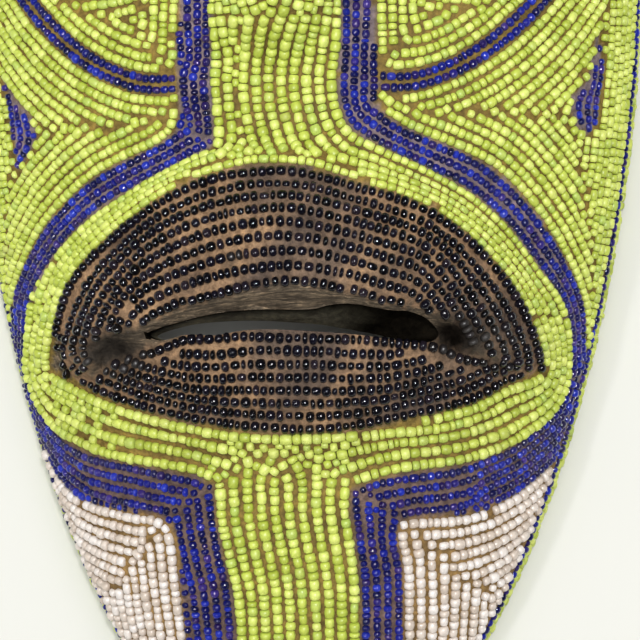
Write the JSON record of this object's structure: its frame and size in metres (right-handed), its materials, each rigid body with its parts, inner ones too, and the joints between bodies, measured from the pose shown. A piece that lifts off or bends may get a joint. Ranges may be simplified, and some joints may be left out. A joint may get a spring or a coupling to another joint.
{
  "type": "beaded mask",
  "caption": "Hollow carved wooden face mask with raised lips, covered with rows of small glass beads in lime, blue, black and white.",
  "frame": {"origin": "middle of the back rim's outline, in the plane of the rim that the mask lies on", "axes": "+Y from chin to brow, +Z out of the face, +X to the right as seen from in front"},
  "size_m": [0.1826, 0.3827, 0.069],
  "materials": {
    "wood": "dull, dark, with a brown resin ground on the face",
    "lime_glass": "opaque glossy seed beads",
    "blue_glass": "dark glossy seed beads",
    "black_glass": "opaque glossy seed beads",
    "white_glass": "opaque glossy seed beads"
  },
  "bodies": {
    "root": {"wooden_mask": "wood", "lime_beads_face": "lime_glass", "lime_beads_left_cheek": "lime_glass", "lime_beads_right_cheek": "lime_glass", "lime_beads_forehead": "lime_glass", "lime_beads_rim": "lime_glass", "blue_beads_left": "blue_glass", "blue_beads_right": "blue_glass", "blue_beads_left_dart": "blue_glass", "blue_beads_right_dart": "blue_glass", "blue_beads_rim": "blue_glass", "black_beads_upper_lip": "black_glass", "black_beads_lower_lip": "black_glass", "black_beads_left_eye": "black_glass", "black_beads_right_eye": "black_glass", "white_beads_left_jaw": "white_glass", "white_beads_right_jaw": "white_glass"}
  },
  "joints": []
}
